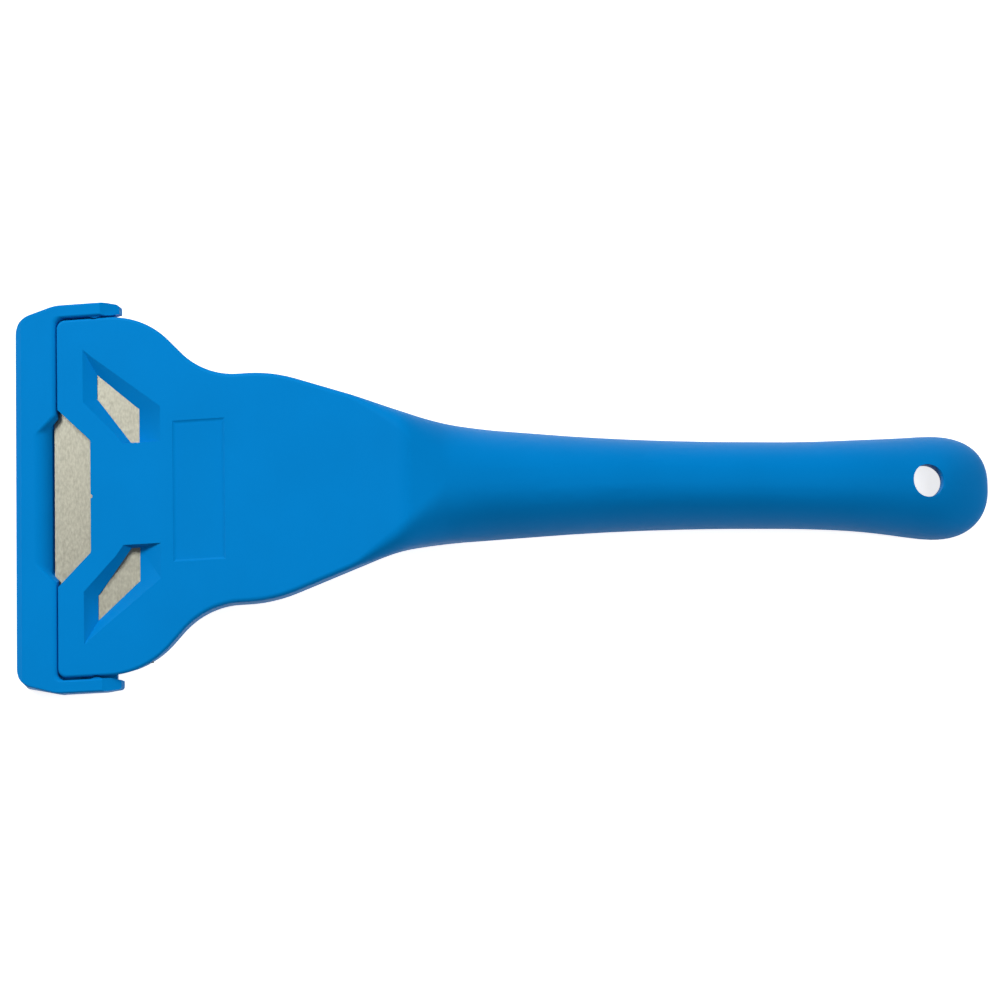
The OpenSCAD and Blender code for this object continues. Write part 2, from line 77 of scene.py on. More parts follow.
blade_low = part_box("blade")[0]
body_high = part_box("handle_body")[1]
# The blade's edge stands blade_out in front of the head and lies at its middle height.
edge_x = blade_low[0] / MM + blade_out * math.cos(head_tilt)
edge_z = blade_low[2] / MM + blade_out * math.sin(head_tilt)
on_tool = Matrix.Translation((edge_x, 0, edge_z)) @ Matrix.Rotation(-head_tilt, 4, "Y")
print("head's front edge at x %.2f, z %.2f mm" % (edge_x, edge_z))

# %% [markdown]
# ## Outlines with round corners
# A moulded part seen from above is straight lines joined by arcs. Blender's vertex bevel gives a corner
# that is only nearly an arc, so each arc is spun round its own centre with the spin operator, and straight
# edges join one arc to the next. The outline then fills to one face.

# %% Outline helper
def rounded_outline(bm, corners, z, arc_deg=5.0):
    """Vertices of a closed outline through corners (x, y, radius), made by spinning each arc."""
    verts = []
    count = len(corners)
    for i in range(count):
        x, y, r = corners[i]
        here = Vector((x, y, z))
        before = Vector((*corners[i - 1][:2], z))
        after = Vector((*corners[(i + 1) % count][:2], z))
        if r <= 0:
            verts.append(bm.verts.new(here))
            continue
        u = (before - here).normalized()
        v = (after - here).normalized()
        turn = math.pi - u.angle(v)
        centre = here + (u + v).normalized() * r / math.cos(turn / 2)
        side = 1 if (here - before).cross(after - here).z > 0 else -1
        steps = max(2, math.ceil(math.degrees(turn) / arc_deg - 0.01))
        chain = [bm.verts.new(here + u * r * math.tan(turn / 2))]
        bmesh.ops.spin(bm, geom=chain[:], cent=centre, axis=(0, 0, side), angle=turn, steps=steps)
        while len(chain) <= steps:
            ahead = [e.other_vert(chain[-1]) for e in chain[-1].link_edges]
            chain.append([w for w in ahead if w not in chain][0])
        verts.extend(chain)
    return verts


def both_sides(half):
    """Half an outline, drawn at y > 0, and its mirror image."""
    return half + [(x, -y, r) for x, y, r in reversed(half)]


def stacked(name, layers, arc_deg=5.0):
    """A solid through a stack of outlines (corners, z), lowest first, with as many corners in each."""
    bm = bmesh.new()
    loops = [rounded_outline(bm, corners, z, arc_deg) for corners, z in layers]
    bm.faces.new(loops[0])
    bm.faces.new(loops[-1])
    for below, above in zip(loops, loops[1:]):
        for i in range(len(below)):
            bm.faces.new((below[i - 1], below[i], above[i], above[i - 1]))
    bmesh.ops.recalc_face_normals(bm, faces=bm.faces)
    return finished(bm, name)


def rolled(depth, steps=6):
    """Rows of a quarter round: the part of its reach that is used, and the depth under the top."""
    angles = [math.pi / 2 * i / steps for i in range(steps + 1)]
    return [(1 - math.cos(a), depth * (1 - math.sin(a))) for a in angles]


def prism(name, corners, z0, z1, arc_deg=5.0):
    """A solid of even thickness over an outline."""
    return stacked(name, [(corners, z0), (corners, z1)], arc_deg)


def finished(bm, name):
    """Puts a bmesh into a new object."""
    mesh = bpy.data.meshes.new(name)
    bm.to_mesh(mesh)
    bm.free()
    obj = bpy.data.objects.new(name, mesh)
    bpy.context.scene.collection.objects.link(obj)
    return obj


# %% [markdown]
# ## Cutting one solid with another
# Windows, slots and grooves are cut with the Boolean modifier, which is how a part like this is drawn too.
# The cutter is thrown away once the cut is in the mesh.

# %% Cutting helpers
def cut(target, cutters, operation="DIFFERENCE"):
    """Applies one Boolean after another to target, and removes the cutters."""
    for cutter in cutters:
        boolean = target.modifiers.new("cut", "BOOLEAN")
        boolean.operation = operation
        boolean.solver = "EXACT"
        boolean.object = cutter
        bpy.context.view_layer.update()
        graph = bpy.context.evaluated_depsgraph_get()
        mesh = bpy.data.meshes.new_from_object(target.evaluated_get(graph))
        target.modifiers.clear()
        old = target.data
        target.data = mesh
        bpy.data.meshes.remove(old)
        bpy.data.objects.remove(cutter)


def block(name, low, high):
    """A box between two corners."""
    bm = bmesh.new()
    bmesh.ops.create_cube(bm, size=1)
    size = [b - a for a, b in zip(low, high)]
    centre = [(a + b) / 2 for a, b in zip(low, high)]
    bmesh.ops.scale(bm, verts=bm.verts, vec=size)
    bmesh.ops.translate(bm, verts=bm.verts, vec=centre)
    return finished(bm, name)


def rod(name, centre, r, z0, z1, segments=64):
    """A round cutter that stands along Z."""
    bm = bmesh.new()
    bmesh.ops.create_cone(
        bm, cap_ends=True, segments=segments, radius1=r, radius2=r, depth=z1 - z0,
        matrix=Matrix.Translation((centre[0], centre[1], (z0 + z1) / 2)),
    )
    return finished(bm, name)


def sharp(points):
    """Points (x, y) as corners without a radius."""
    return [(x, y, 0) for x, y in points]


def extruded(name, side_view, y0, y1):
    """A solid whose side view is a list of points (x, z)."""
    bm = bmesh.new()
    face = bm.faces.new([bm.verts.new((x, y0, z)) for x, z in side_view])
    grown = bmesh.ops.extrude_face_region(bm, geom=[face])
    moved = [g for g in grown["geom"] if isinstance(g, bmesh.types.BMVert)]
    bmesh.ops.translate(bm, verts=moved, vec=(0, y1 - y0, 0))
    bmesh.ops.recalc_face_normals(bm, faces=bm.faces)
    return finished(bm, name)


def mirrored(obj):
    """The same cutter on the other side of the tool."""
    bm = bmesh.new()
    bm.from_mesh(obj.data)
    bmesh.ops.scale(bm, verts=bm.verts, vec=(1, -1, 1))
    bmesh.ops.reverse_faces(bm, faces=bm.faces)
    return finished(bm, obj.name)


def soften(obj, width, segments, angle_deg, chosen=None):
    """Rounds the sharp edges of a mesh, or only those whose middle passes the chosen test."""
    bm = bmesh.new()
    bm.from_mesh(obj.data)
    bmesh.ops.remove_doubles(bm, verts=bm.verts, dist=0.002)
    bmesh.ops.dissolve_limit(
        bm, angle_limit=math.radians(0.5), verts=bm.verts, edges=bm.edges, delimit={"NORMAL"}
    )
    picked = []
    for e in bm.edges:
        if len(e.link_faces) != 2 or e.calc_face_angle(0) < math.radians(angle_deg):
            continue
        middle = (e.verts[0].co + e.verts[1].co) / 2
        if chosen is None or chosen(middle):
            picked.append(e)
    bmesh.ops.bevel(
        bm, geom=picked, offset=width, offset_type="OFFSET", segments=segments, profile=0.5,
        affect="EDGES", clamp_overlap=True, material=-1,
    )
    bm.to_mesh(obj.data)
    print(obj.name, "rounded", len(picked), "edges, now", len(bm.faces), "faces")
    bm.free()


# %% [markdown]
# ## The head
# The head is a flat plate 3.9 mm thick with rounded shoulders. Its front carries the blade in a thin slot.
# The plastic over the blade is open at the front notch and at two slanted windows whose walls slope down to
# the steel, as a mould needs. Behind them lies a shallow bare plate.

# %% Head plate
side_l = 9.5
front_r = 1.5
shoulder_r = 15.4
shoulder_turn = math.radians(46)
neck_r = 14.4
shoulder_x = side_l + shoulder_r * math.tan(shoulder_turn / 2)
hollow_x = shoulder_x + (head_w - neck_w) / 2 / math.tan(shoulder_turn)
neck_x = hollow_x + neck_r * math.tan(shoulder_turn / 2)
join_x = (neck_x + 1) * math.cos(head_tilt)


def head_outline(front, side, neck):
    """The head's outline, with its front, its sides and shoulders, and its neck brought in."""
    half = head_w / 2 - side
    shoulder = shoulder_x - side * math.tan(shoulder_turn / 2)
    hollow = hollow_x - (side - neck * math.cos(shoulder_turn)) / math.sin(shoulder_turn)
    return both_sides([
        (front, half, front_r),
        (shoulder, half, shoulder_r),
        (hollow, neck_w / 2 - neck, neck_r),
        (neck_x + 3, neck_w / 2 - neck, 0),
    ])


# Reach of the rounded top edges at the front, the sides and the neck, and their common depth.
front_reach = 0.35
side_reach = 0.6
neck_reach = 0.8
edge_deep = 0.6
lip = 0.25
layers = []
for part, up in reversed(rolled(lip, 3)):
    layers.append((head_outline(lip * part, side_draft + lip * part, lip * part), low_z + up))
for part, down in rolled(edge_deep):
    drawn = side_draft * down / (top_z - low_z)
    layers.append((
        head_outline(front_reach * part, drawn + side_reach * part, neck_reach * part),
        top_z - down,
    ))
head = stacked("handle_moulding", layers, 3.0)

# %% Front notch
notch_w = 31.6
notch_in_w = 19.7
notch_d = 6.25
splay = (notch_w - notch_in_w) / 2 / notch_d
notch = prism(
    "notch", both_sides([(-1, notch_w / 2 + splay, 0), (notch_d, notch_in_w / 2, 0.8)]), 0, top_z + 1
)
nick = rod("nick", (notch_d, 0), 0.35, slot_h / 2, top_z + 1, 24)

# %% Slanted windows
y_in = bridge_w / 2
x_end = front_bar + window_l
window_top = [
    (front_bar, head_w / 2 - side_bar),
    (front_bar, y_in + 7.8),
    (front_bar + 7.3, y_in),
    (x_end, y_in),
    (x_end, y_in + 6.2),
]
# How far the sloped walls bring each corner in at the blade.
window_run = [(2.1, -4.4), (2.1, 0.55), (0.95, 0.35), (-4.4, 0.35), (-4.4, 0)]


def window_outline(depth):
    """Corners of a window at a depth from 0, its top, to 1, the blade."""
    return [(x + dx * depth, y + dy * depth, 0) for (x, y), (dx, dy) in zip(window_top, window_run)]


roof_t = top_z - slot_h / 2
over_top = 0.3
past_slot = 1.05
window = stacked("window", [
    (window_outline(past_slot), top_z - past_slot * roof_t),
    (window_outline(-over_top), top_z + over_top * roof_t),
])

# %% Slot, tongues, plate and dents
slot_end = blade_d - blade_out + 0.25
blade_slot = block("slot", (-1, -slot_w / 2, -slot_h / 2), (slot_end, slot_w / 2, slot_h / 2))
panel_x = x_end + 2.2
panel_l = 9.5
panel_w = 24.7
panel_d = 0.4
wall_run = 0.5


def panel_outline(inset):
    """The bare plate's outline, brought in by the slope of its walls."""
    far = panel_x + panel_l - inset
    return both_sides([(panel_x + inset, panel_w / 2 - inset, 0), (far, panel_w / 2 - inset, 0)])


panel = stacked("panel", [
    (panel_outline(wall_run), top_z - panel_d),
    (panel_outline(-wall_run / 2), top_z + panel_d / 2),
])
tongue_tip = front_bar + 2
tongue_end = tongue_tip + 10
tongue_y = 15.5
slit = prism(
    "slit",
    sharp([
        (tongue_tip, tongue_y - 5),
        (tongue_end, tongue_y - 5),
        (tongue_end, tongue_y - 4),
        (tongue_tip + 1, tongue_y - 4),
        (tongue_tip + 1, tongue_y + 4),
        (tongue_end, tongue_y + 4),
        (tongue_end, tongue_y + 5),
        (tongue_tip, tongue_y + 5),
    ]),
    low_z - 1,
    0,
)
detent_x = 6.95
bump_l = 2.0
dent_h = 0.3
dent_r = (bump_l ** 2 / 4 + dent_h ** 2) / (2 * dent_h)
dent = rod("dent", (detent_x, head_w / 2 + dent_r - dent_h), dent_r, low_z - 1, top_z + 1)
arm_l = 11.1
rail_in = 0.95
rail_h = 0.7
rail_play = 0.1
rail_z = -slot_h / 2 - 0.35
groove = block(
    "groove",
    (-1, head_w / 2 - rail_in - rail_play, rail_z - rail_h - rail_play),
    (arm_l, head_w / 2 + 1, rail_z + rail_play),
)
cut(head, [notch, nick, blade_slot, panel])
for cutter in (window, slit, dent, groove):
    cut(head, [mirrored(cutter), cutter])
print("head cut,", len(head.data.polygons), "faces")

# %% Round the cut edges of the head
def on_top(p):
    """Whether a point lies in the plane of the head's top."""
    return p.z > top_z - 0.01


soften(head, 0.3, 4, 32, on_top)
soften(head, 0.1, 2, 40)

# %% Trim the head where the handle takes over
trim = block("trim", (-20, -40, -60), (join_x, 40, 60))
head.data.transform(on_tool)
trim.data.transform(Matrix.Translation((edge_x, 0, edge_z)))
cut(head, [trim], "INTERSECT")
join_at = edge_x + join_x

# %% [markdown]
# ## The handle
# Behind the head the moulding sweeps up a ramp, over a crest and down a slim grip to a rounded tail. Its
# width, its back and its rim are each a smooth line, so it is built as a row of rings across the tool, each
# shaped from those lines, and bridged ring to ring. The grip is hollow below, with ribs.

# %% Lines of the handle
def bent(line, x):
    """Value at x of a line of (x, value, half length of the rounding) rows with eased corners."""
    last = len(line) - 1
    i = 0
    while i + 2 <= last and x >= line[i + 1][0]:
        i += 1

    def steep(k):
        return (line[k + 1][1] - line[k][1]) / (line[k + 1][0] - line[k][0])

    value = line[i][1] + steep(i) * (x - line[i][0])
    for k in (i, i + 1):
        reach = line[k][2] if 0 < k < last else 0
        off = reach - abs(x - line[k][0])
        if off > 0:
            value += (steep(k) - steep(k - 1)) * off * off / (4 * reach)
    return value


def plate_z(x, z):
    """Height over the table of the plate's surface z, x behind the head's front edge."""
    return edge_z + x * math.tan(head_tilt) + z / math.cos(head_tilt)


ramp_x = 51.6
ramp_l = 8.8
crest_x = ramp_x + ramp_l
tip_x = body_high[0] / MM - edge_x + 0.05
waist_w = 15.1
flare_l = 16.6
tail_w = 18.1
tail_l = 10.1
tail_square = 2.4
tail_x = tip_x - tail_l
hang_x = tip_x - 10.8
waist_end = tail_x - flare_l
waist_start = waist_end - 34
taper_x = ramp_x - 14.1
half_line = [
    (join_x, neck_w / 2, 0),
    (taper_x, neck_w / 2, 4.3),
    (crest_x + 3.9, 10.4, 6.4),
    (waist_start, waist_w / 2, 18),
    (waist_end, waist_w / 2, 10.7),
    (tail_x - 1, tail_w / 2, 1),
    (tail_x, tail_w / 2, 0),
]
crest_z = plate_z(ramp_x, top_z) + ramp_l * math.tan(math.radians(18.5))
bend_x = tip_x - 23
bend_h = 14.0
tip_h = 6.8
back_line = [
    (join_x, plate_z(join_x, top_z), 0),
    (ramp_x, plate_z(ramp_x, top_z), 1.5),
    (crest_x, crest_z, 1.5),
    (bend_x, bend_h, 8),
    (tip_x, tip_h, 0),
]
heel_x = tail_x - 1.4
rim_line = [
    (join_x, plate_z(join_x, low_z), 0),
    (crest_x - 2, plate_z(crest_x - 2, low_z), 3),
    (crest_x + 6, 12.6, 4),
    (bend_x, 4.4, 4),
    (heel_x, 0, 4),
    (heel_x + 6.4, 0, 2.4),
    (tip_x, 1.6, 0),
]
# How far the crown's rounding reaches in from the side, and down from the back.
across_line = [
    (join_x, neck_reach, 0),
    (ramp_x, 1.0, 1),
    (crest_x, 4.4, 3),
    (crest_x + 14.2, waist_w, 4),
    (tip_x, waist_w, 0),
]
down_line = [
    (join_x, edge_deep / math.cos(head_tilt), 0),
    (ramp_x, 0.9, 1),
    (crest_x, 4.3, 3),
    (crest_x + 14.2, 10, 4),
    (tip_x, 10, 0),
]
print("tail centre %.2f, crest %.2f mm high" % (tail_x, crest_z))

# %% Rings
crown_n = 12
lip_n = 3


def ring_points(x, side=0.0, back=0.0, drop=0.0):
    """One ring across the handle. side and back bring it in for the hollow, drop lowers its rim."""
    full = bent(half_line, min(x, tail_x)) - side
    ahead = max(0.0, x - tail_x) / (tail_l - side)
    half = full * (1 - ahead ** tail_square) ** (1 / tail_square)
    z_back = bent(back_line, x) - back
    z_rim = bent(rim_line, x) - drop
    across = min(full - lip, max(0.3, bent(across_line, x) - side))
    down = min(z_back - z_rim - 2 * lip, max(0.3, bent(down_line, x) - back))
    points = []
    for i in range(lip_n + 1):
        a = math.pi / 2 * i / lip_n
        points.append((half - lip + lip * math.sin(a), z_rim + lip - lip * math.cos(a)))
    for i in range(crown_n + 1):
        y = half / full * (full - across + across * math.cos(math.pi / 2 * i / crown_n))
        out = (ahead ** tail_square + (y / full) ** tail_square) ** (1 / tail_square)
        t = min(1.0, max(0.0, full * out - full + across) / across)
        points.append((y, z_back - down + down * math.sqrt(1 - t * t)))
    points += [(-y, z) for y, z in reversed(points)]
    return [Vector((edge_x + x, y, z)) for y, z in points]


def spread(a, b, step):
    """Evenly spaced places from a to b, no more than step apart, without b."""
    n = math.ceil((b - a) / step)
    return [a + (b - a) * i / n for i in range(n)]


def lofted(name, rings):
    """Bridges a row of rings into a closed skin."""
    bm = bmesh.new()
    before = []
    for points in rings:
        made = bmesh.ops.create_circle(bm, segments=len(points), radius=1)
        verts = made["verts"]
        for v, p in zip(verts, points):
            v.co = p
        edges = [bm.edges.get((verts[i - 1], verts[i])) for i in range(len(verts))]
        if before:
            bmesh.ops.bridge_loops(bm, edges=before + edges)
        else:
            bmesh.ops.contextual_create(bm, geom=edges)
        before = edges
    bmesh.ops.contextual_create(bm, geom=before)
    bmesh.ops.recalc_face_normals(bm, faces=bm.faces)
    return finished(bm, name)


def tail_places(reach, stop_deg, count):
    """Places along the rounded tail, closer together towards its tip."""
    angles = [math.radians(stop_deg) * i / count for i in range(count + 1)]
    return [tail_x + reach * math.sin(a) ** (2 / tail_square) for a in angles]


places = (
    spread(join_x, ramp_x - 1.5, 1.5)
    + spread(ramp_x - 1.5, crest_x + 4, 0.5)
    + spread(crest_x + 4, crest_x + 24, 1)
    + spread(crest_x + 24, tail_x, 2)
    + tail_places(tail_l, 84, 18)
)
grip = lofted("grip", [ring_points(x) for x in places])

# %% Hollow and ribs under the grip
side_t = 2.0
crown_t = 2.1
rib_t = 1.2
rib_pitch = 12.8
rib_recess = 1.0
hang_r = 2.85
hollow_start = crest_x - 3
hollow_places = spread(hollow_start, crest_x + 24, 1.5) + spread(crest_x + 24, tail_x, 3)
hollow_places += tail_places(tail_l - side_t, 81, 9)
hollow = lofted("hollow", [ring_points(x, side_t, crown_t, 1) for x in hollow_places])
rib_last = hang_x - hang_r - 3
rib_count = math.floor((rib_last - hollow_start - rib_pitch / 2) / rib_pitch)
ribs = []
for i in range(rib_count + 1):
    x = rib_last - i * rib_pitch
    z = bent(rim_line, x) + rib_recess
    ribs.append(block("rib", (edge_x + x, -20, z), (edge_x + x + rib_t, 20, z + 30)))
spine_places = spread(hollow_start - 1, rib_last, 2) + [rib_last + rib_t / 2]
spine_view = [(edge_x + x, bent(rim_line, x) + rib_recess) for x in spine_places]
spine_view += [(edge_x + x, 60) for x in (spine_places[-1], spine_places[0])]
ribs.append(extruded("spine", spine_view, -rib_t / 2, rib_t / 2))
cut(hollow, ribs)
tail_tilt = math.atan((bend_h - tip_h) / (tip_x - bend_x))
hole = rod("hole", (0, 0), hang_r, -6, 6, 96)
hole.data.transform(
    Matrix.Translation((edge_x + hang_x, 0, bent(back_line, hang_x))) @ Matrix.Rotation(tail_tilt, 4, "Y")
)
cut(grip, [hollow, hole])
soften(grip, 0.25, 2, 40, lambda p: p.x > join_at + 0.01)

# %% Join head and grip
bm = bmesh.new()
bm.from_mesh(head.data)
bm.from_mesh(grip.data)
caps = [f for f in bm.faces if all(abs(v.co.x - join_at) < 0.005 for v in f.verts)]
bmesh.ops.delete(bm, geom=caps, context="FACES_ONLY")
bmesh.ops.remove_doubles(bm, verts=bm.verts, dist=0.004)
bm.to_mesh(head.data)
bm.free()
bpy.data.objects.remove(grip)
print("caps removed:", len(caps), "- moulding has", len(head.data.polygons), "faces")


# %% Finish a piece
def place(obj, node, body, smooth_deg=35, at=None):
    """Brings a piece to metres in its place, shades it, and lets it take over from its node."""
    if at is not None:
        obj.data.transform(at)
    obj.data.transform(Matrix.Scale(MM, 4))
    obj.data.materials.clear()
    for polygon in obj.data.polygons:
        polygon.use_smooth = True
    obj.data.set_sharp_from_angle(angle=math.radians(smooth_deg))
    normals = obj.modifiers.new("weighted", "WEIGHTED_NORMAL")
    normals.keep_sharp = True
    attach(obj, body)
    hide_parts(node)
    print(obj.name, "placed, box", [round(v, 1) for v in Vector(obj.dimensions) * 1000])


place(head, "handle_body", "body")

# %% [markdown]
# ## The blade
# The blade is a flat strip of steel with its edge ground from both sides. A box would do for the strip, but
# the ground edge is what catches the light, so its side view is drawn and extruded across the tool.

# %% Blade
t = blade_t / 2
steel = extruded(
    "razor_blade",
    [
        (-blade_out, 0),
        (grind_w - blade_out, -t),
        (blade_d - blade_out, -t),
        (blade_d - blade_out, t),
        (grind_w - blade_out, t),
    ],
    -blade_w / 2,
    blade_w / 2,
)
place(steel, "blade", "blade", 8, on_tool)

# %% [markdown]
# ## The guard
# The guard is a bar with two arms, pushed over the edge from the front. Its outline is the same kind of
# rounded outline as the head's. The arms are lower than the bar, end in sloped finger tabs and carry a bump
# that snaps into the head's dent.

# %% Guard
bar_l = 7.55
bar_gap = 0.14
bar_low = low_z - 0.7
corner_l = 7.3
arm_h = 3.5
tab_l = 3.0
tab_drop = 1.8
arm_gap = 0.32
arm_in = head_w / 2 + arm_gap
arm_out = arm_in + 2.4
bar_back = -bar_gap
bar_front = bar_back - bar_l
# Sweep and radius of the front corners, at the top and at the foot.
top_sweep = 2.1
top_corner_r = 3.6
foot_sweep = 1.6
foot_corner_r = 1.3
sweep_r = 8
tab_in = 0.35
tab_r = 0.6
arm_root_r = 1.3
turn_out = 0.3
turn_out_l = 1.6


def guard_outline(draft, sweep_w, corner_r):
    """The outside of the guard's outline, whose ends are drawn in by the draft."""
    half = arm_out - draft
    return both_sides([
        (bar_front, half - sweep_w, corner_r),
        (bar_front + corner_l, half, sweep_r),
        (arm_l - tab_l, half, 0),
        (arm_l, half - tab_in, tab_r),
    ])


def between_outline(back, side):
    """The space between the arms, which turn out a little at their ends."""
    inner = arm_in + side
    return both_sides([
        (bar_back - back, inner, arm_root_r),
        (arm_l - turn_out_l, inner, 0),
        (arm_l, inner + turn_out, 0),
        (arm_l + 1, inner + turn_out, 0),
    ])


end_draft = 0.3
end_reach = 0.4
back_reach = 0.8
arm_reach = 0.45
layers = [(guard_outline(end_draft, foot_sweep, foot_corner_r), bar_low)]
for part, down in rolled(edge_deep):
    drawn = end_draft * down / (top_z - bar_low)
    layers.append((guard_outline(drawn + end_reach * part, top_sweep, top_corner_r), top_z - down))
guard = stacked("edge_guard", layers)
layers = [(between_outline(0, 0), bar_low - 1)]
for part, down in rolled(edge_deep):
    layers.append((between_outline(back_reach * part, arm_reach * part), top_z - down))
layers.append((layers[-1][0], top_z + 1))
between_arms = stacked("between_arms", layers)
under_arms = block("under_arms", (bar_back + 0.01, -50, bar_low - 1), (arm_l + 5, 50, top_z - arm_h))
strip_l = 1.2
strip_drop = 0.6
front_strip = extruded(
    "front_strip",
    [
        (bar_front - strip_l, top_z - 2 * strip_drop),
        (bar_front + 2 * strip_l, top_z + strip_drop),
        (bar_front - strip_l, top_z + strip_drop),
    ],
    -50,
    50,
)
foot = 0.5
front_foot = extruded(
    "front_foot",
    [
        (bar_front - foot, bar_low + 2 * foot),
        (bar_front + 2 * foot, bar_low - foot),
        (bar_front - foot, bar_low - foot),
    ],
    -50,
    50,
)
tab = block("tab", (0, -60, 0), (8, 60, 4))
tab.data.transform(
    Matrix.Translation((arm_l - tab_l, 0, top_z)) @ Matrix.Rotation(math.atan(tab_drop / tab_l), 4, "Y")
)

# %% Scoop and groove in the guard
# The scoop rolls down past the blade's edge, so that the edge shows over a dark hollow.
scoop_l = 4.2
scoop_w = 31.0
scoop_front_w = 22.6
scoop_run = 3.0
scoop_side_run = 1.6
scoop_floor = -1.2
scoop_turn = math.radians(80)
scoop_corner_r = 1.5
groove_deep = 1.4
groove_half = 0.4


def scoop_layer(a):
    """The scoop's outline where its rolled wall has turned by the angle a, and the height of it."""
    splay = (scoop_w - scoop_front_w) / 2 / scoop_l
    part = math.sin(a) / math.sin(scoop_turn)
    x = bar_back - scoop_l + scoop_run * part
    y = scoop_front_w / 2 + (scoop_run * splay - scoop_side_run) * part
    z = top_z - (top_z - scoop_floor) * (1 - math.cos(a)) / (1 - math.cos(scoop_turn))
    return both_sides([(1, y + splay * (1 - x), 0), (x, y, scoop_corner_r)]), z


layers = [scoop_layer(scoop_turn * i / 10) for i in range(10, -1, -1)]
scoop = stacked("scoop", layers + [(layers[-1][0], top_z + 1)])
edge_groove = block(
    "edge_groove",
    (bar_back - groove_deep, -slot_w / 2, -groove_half),
    (bar_back + 0.5, slot_w / 2, groove_half),
)
cut(guard, [between_arms, under_arms, front_strip, front_foot, edge_groove, scoop, tab])

# %% Bumps and rails on the guard's arms
bump_h = 0.28
bump_r = (bump_l ** 2 / 4 + bump_h ** 2) / (2 * bump_h)
bump = rod("bump", (detent_x, arm_in + bump_r - bump_h), bump_r, top_z - 3, top_z - 0.6)
keep = block("keep", (detent_x - 2, arm_in - 1, -9), (detent_x + 2, arm_in + 1.2, 9))
cut(bump, [keep], "INTERSECT")
rail = block(
    "rail",
    (bar_back - 0.5, head_w / 2 - rail_in, rail_z - rail_h),
    (arm_l - 1, arm_in + 1.2, rail_z),
)
for piece in (bump, rail):
    cut(guard, [mirrored(piece), piece], "UNION")

# %% Round the guard's cut edges
soften(guard, 0.25, 3, 25, lambda p: p.x < bar_front + strip_l + 0.05)
soften(guard, 0.12, 2, 40)
place(guard, "blade_guard", "guard", 35, on_tool)

# %% [markdown]
# ## Moulded plastic
# The body and the guard are the same blue plastic: satin, very slightly cloudy, with the fine spark-eroded
# grain of a mould and faint flow marks. Noise at three scales gives colour, roughness and bump.

# %% Moulded plastic
def new_material(name):
    """An empty node material with its shader and texture coordinates."""
    material = bpy.data.materials.new(name)
    material.use_nodes = True
    nodes = material.node_tree.nodes
    shader = nodes["Principled BSDF"]
    place_on_piece = nodes.new("ShaderNodeTexCoord")
    return material, nodes, material.node_tree.links, shader, place_on_piece


def noise(nodes, links, coords, scale, detail, roughness=0.5):
    """Noise over Object coordinates. scale counts patches in a metre."""
    texture = nodes.new("ShaderNodeTexNoise")
    texture.inputs["Scale"].default_value = scale
    texture.inputs["Detail"].default_value = detail
    texture.inputs["Roughness"].default_value = roughness
    links.new(coords.outputs["Object"], texture.inputs["Vector"])
    return texture


def ramp(nodes, links, source, stops):
    """A colour ramp with (position, colour) stops."""
    band = nodes.new("ShaderNodeValToRGB")
    while len(band.color_ramp.elements) < len(stops):
        band.color_ramp.elements.new(0.5)
    for element, (position, colour) in zip(band.color_ramp.elements, stops):
        element.position = position
        element.color = (*colour, 1)
    links.new(source.outputs[0], band.inputs[0])
    return band


def moulded_plastic(name, colour):
    material, nodes, links, shader, coords = new_material(name)
    darker = [c * 0.97 for c in colour]
    lighter = [min(1, c * 1.03) for c in colour]
    clouds = noise(nodes, links, coords, 60, 3)
    tint = ramp(nodes, links, clouds, [(0.3, darker), (0.7, lighter)])
    links.new(tint.outputs["Color"], shader.inputs["Base Color"])
    shine = noise(nodes, links, coords, 900, 4)
    rough = nodes.new("ShaderNodeMapRange")
    rough.inputs["To Min"].default_value = 0.48
    rough.inputs["To Max"].default_value = 0.58
    links.new(shine.outputs["Fac"], rough.inputs["Value"])
    links.new(rough.outputs["Result"], shader.inputs["Roughness"])
    grain = noise(nodes, links, coords, 4200, 2)
    bump_node = nodes.new("ShaderNodeBump")
    bump_node.inputs["Strength"].default_value = 0.06
    bump_node.inputs["Distance"].default_value = 0.0001
    links.new(grain.outputs["Fac"], bump_node.inputs["Height"])
    links.new(bump_node.outputs["Normal"], shader.inputs["Normal"])
    shader.inputs["IOR"].default_value = 1.49
    shader.inputs["Specular IOR Level"].default_value = 0.15
    shader.inputs["Specular Tint"].default_value = (0.05, 0.5, 1.0, 1)
    return material


plastic_blue = (0.0, 0.2, 0.56)
head.data.materials.append(moulded_plastic("blue_moulding", plastic_blue))
guard.data.materials.append(moulded_plastic("blue_guard_moulding", plastic_blue))

# %% [markdown]
# ## Rolled steel
# The blade is cold-rolled strip: grey with a warm cast, fine lines along its length from the rolls, and a
# speckle where the light catches them. Noise that is stretched along the blade makes the lines.

# %% Rolled steel
steel_paint, nodes, links, shader, coords = new_material("rolled_steel")
shader.inputs["Metallic"].default_value = 1.0
stretch = nodes.new("ShaderNodeMapping")
stretch.inputs["Scale"].default_value = (1, 0.5, 1)
links.new(coords.outputs["Object"], stretch.inputs["Vector"])
lines = nodes.new("ShaderNodeTexNoise")
lines.inputs["Scale"].default_value = 3000
lines.inputs["Detail"].default_value = 3
links.new(stretch.outputs["Vector"], lines.inputs["Vector"])
steel_tint = ramp(nodes, links, lines, [(0.3, (0.43, 0.42, 0.34)), (0.7, (0.55, 0.54, 0.44))])
links.new(steel_tint.outputs["Color"], shader.inputs["Base Color"])
rough = nodes.new("ShaderNodeMapRange")
rough.inputs["To Min"].default_value = 0.32
rough.inputs["To Max"].default_value = 0.45
links.new(lines.outputs["Fac"], rough.inputs["Value"])
links.new(rough.outputs["Result"], shader.inputs["Roughness"])
bump_node = nodes.new("ShaderNodeBump")
bump_node.inputs["Strength"].default_value = 0.15
bump_node.inputs["Distance"].default_value = 0.00005
links.new(lines.outputs["Fac"], bump_node.inputs["Height"])
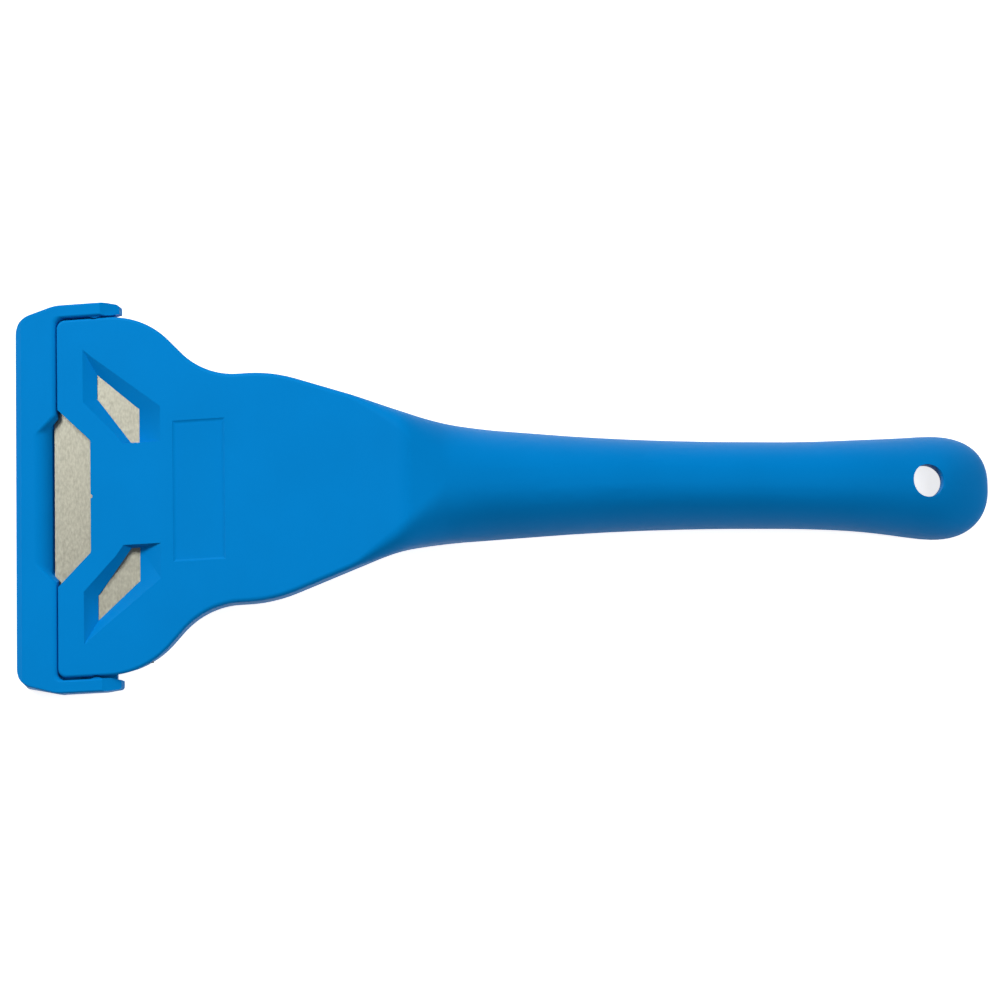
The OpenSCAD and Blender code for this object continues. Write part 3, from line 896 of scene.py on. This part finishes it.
links.new(bump_node.outputs["Normal"], shader.inputs["Normal"])
steel.data.materials.append(steel_paint)

# %% [markdown]
# ## Table, light and camera
# The picture is a cut-out on white, lit softly from above left, with a wide fill over the handle. A plain
# floor takes the shadow. Its glow is seen only by the camera and in reflections, so that it throws no extra
# light on the plastic. The lens is long and looks almost straight down.

# %% Floor
bm = bmesh.new()
bmesh.ops.create_grid(bm, x_segments=1, y_segments=1, size=1.5)
floor = finished(bm, "floor")
floor_paint = bpy.data.materials.new("floor_paint")
floor_paint.use_nodes = True
nodes = floor_paint.node_tree.nodes
links = floor_paint.node_tree.links
shader = nodes["Principled BSDF"]
shader.inputs["Base Color"].default_value = (0.75, 0.75, 0.75, 1)
shader.inputs["Roughness"].default_value = 0.9
glow = nodes.new("ShaderNodeEmission")
glow.inputs["Strength"].default_value = 0.8
seen = nodes.new("ShaderNodeLightPath")
either = nodes.new("ShaderNodeMath")
either.operation = "MAXIMUM"
links.new(seen.outputs["Is Camera Ray"], either.inputs[0])
links.new(seen.outputs["Is Glossy Ray"], either.inputs[1])
black = nodes.new("ShaderNodeEmission")
black.inputs["Strength"].default_value = 0
chosen = nodes.new("ShaderNodeMixShader")
links.new(either.outputs["Value"], chosen.inputs["Fac"])
links.new(black.outputs["Emission"], chosen.inputs[1])
links.new(glow.outputs["Emission"], chosen.inputs[2])
total = nodes.new("ShaderNodeAddShader")
links.new(shader.outputs["BSDF"], total.inputs[0])
links.new(chosen.outputs["Shader"], total.inputs[1])
links.new(total.outputs["Shader"], nodes["Material Output"].inputs["Surface"])
floor.data.materials.append(floor_paint)

# %% World
world = bpy.data.worlds.new("studio")
bpy.context.scene.world = world
world.use_nodes = True
nodes = world.node_tree.nodes
links = world.node_tree.links
sky = nodes["Background"]
sky.inputs["Color"].default_value = (1, 1, 1, 1)
sky.inputs["Strength"].default_value = 0.1
white = nodes.new("ShaderNodeBackground")
white.inputs["Strength"].default_value = 1.0
path = nodes.new("ShaderNodeLightPath")
mix = nodes.new("ShaderNodeMixShader")
links.new(path.outputs["Is Camera Ray"], mix.inputs["Fac"])
links.new(sky.outputs["Background"], mix.inputs[1])
links.new(white.outputs["Background"], mix.inputs[2])
links.new(mix.outputs["Shader"], nodes["World Output"].inputs["Surface"])


# %% Lamps
def soft_box(name, place_at, size, power):
    """A square soft lamp that points at the tool."""
    lamp = bpy.data.lights.new(name, "AREA")
    lamp.size = size
    lamp.energy = power
    obj = bpy.data.objects.new(name, lamp)
    obj.location = place_at
    obj.rotation_euler = Vector(place_at).to_track_quat("Z", "Y").to_euler()
    bpy.context.scene.collection.objects.link(obj)
    return obj


soft_box("key", (-0.6, 0.55, 0.55), 0.3, 8.2)
soft_box("fill", (0.6, -0.05, 1.0), 0.8, 7.3)

# %% Camera
distance = 1.0
tilt = math.radians(9)
roll = math.radians(0.98)
field = 0.175
back = Vector((0, -math.sin(tilt), math.cos(tilt)))
level = Vector((1, 0, 0))
upward = back.cross(level)
right = level * math.cos(roll) - upward * math.sin(roll)
up = back.cross(right)
lens = bpy.data.cameras.new("lens")
lens.sensor_width = 36
lens.lens = 36 * distance / field
camera = bpy.data.objects.new("camera", lens)
target = Vector((-0.000412, -0.000608, -0.000096))
turn = Matrix((right, up, back)).transposed().to_4x4()
camera.matrix_world = Matrix.Translation(target + back * distance) @ turn
bpy.context.scene.collection.objects.link(camera)
bpy.context.scene.camera = camera

# %% Colour settings
bpy.context.scene.view_settings.view_transform = "Standard"
